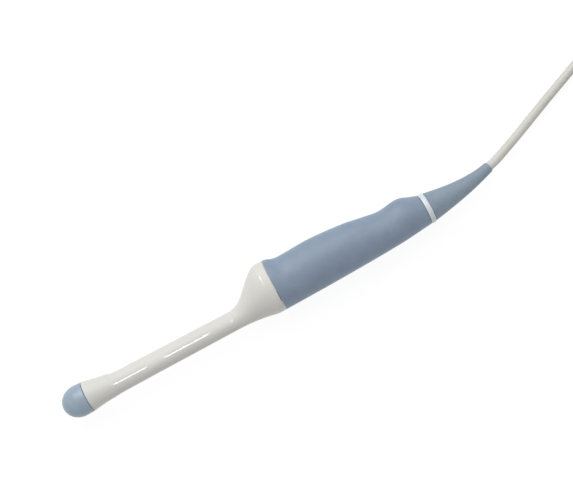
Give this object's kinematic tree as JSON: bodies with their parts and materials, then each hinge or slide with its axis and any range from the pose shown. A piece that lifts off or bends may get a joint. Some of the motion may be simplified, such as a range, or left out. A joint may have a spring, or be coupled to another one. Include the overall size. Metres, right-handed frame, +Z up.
{
  "type": "ultrasound transducer probe",
  "caption": "Endocavity ultrasound probe with a domed array head, slim shaft, contoured handle, strain relief and a cable wound in a hank, with a rotary-lock connector.",
  "frame": {"origin": "on the floor, below the middle of the probe's box, the cable and its connector left out", "axes": "+X from the head towards the cable, +Y towards the handle's thumb side, +Z up out of the probe's left side as it lies"},
  "size_m": [0.782, 0.0649, 0.0513],
  "materials": {
    "lens_silicone": "satin grey-blue silicone",
    "housing_white": "off-white, soft gloss",
    "handle_blue_grey": "satin grey-blue",
    "ring_white": "pale cool white",
    "boot_blue_grey": "satin blue-grey elastomer",
    "cable_jacket": "off-white satin jacket",
    "seal_rubber": "dark matte rubber",
    "matching_epoxy": "brown cast epoxy",
    "piezo_ceramic": "cream ceramic with fine kerfs",
    "backing_absorber": "dark loaded absorber",
    "nylon_black": "black moulded nylon",
    "connector_black": "black moulded",
    "board_laminate": "green circuit board",
    "flex_polyimide": "amber polyimide film",
    "screw_steel": "stainless steel",
    "crimp_brass": "brass",
    "coax_cores": "grey fine coaxial cores",
    "strap_fabric": "dark woven strap",
    "plug_nickel": "nickel plated frame",
    "insulator_dark": "dark insulator",
    "lock_grip": "grey-blue moulded grip"
  },
  "bodies": {
    "probe": {"acoustic_lens": "lens_silicone", "shaft_housing": "housing_white", "connector_base": "housing_white", "connector_cover": "housing_white", "handle_shell_left": "handle_blue_grey", "handle_shell_right": "handle_blue_grey", "end_ring": "ring_white", "strain_relief": "boot_blue_grey", "connector_boot": "boot_blue_grey", "cable_handle_end": "cable_jacket", "cable_lead": "cable_jacket", "cable_hank": "cable_jacket", "cable_tail": "cable_jacket", "cable_connector_end": "cable_jacket", "collar_seal": "seal_rubber", "matching_layer": "matching_epoxy", "crystal_array": "piezo_ceramic", "backing_block": "backing_absorber", "array_carrier": "nylon_black", "cable_clamp_left": "nylon_black", "cable_clamp_right": "nylon_black", "connector_clamp": "nylon_black", "flex_connector_left": "connector_black", "flex_connector_right": "connector_black", "termination_board": "board_laminate", "connector_board": "board_laminate", "flex_circuit_left": "flex_polyimide", "flex_circuit_right": "flex_polyimide", "board_screw_front": "screw_steel", "board_screw_rear": "screw_steel", "clamp_screw_upper": "screw_steel", "clamp_screw_lower": "screw_steel", "cover_screw_1": "screw_steel", "cover_screw_2": "screw_steel", "cover_screw_3": "screw_steel", "cover_screw_4": "screw_steel", "crimp_ring": "crimp_brass", "coax_bundle": "coax_cores", "connector_harness": "coax_cores", "hank_tie": "strap_fabric", "plug_shell": "plug_nickel", "contact_insert": "insulator_dark"},
    "lock": {"lock_knob": "lock_grip", "lock_shaft": "screw_steel"}
  },
  "joints": [
    {"name": "lock_turn", "type": "hinge", "parent": "probe", "child": "lock", "pos_m": [0.56, 0.0166, 0.03], "axis": [0, 0, 1], "range_deg": [0, 90]}
  ]
}
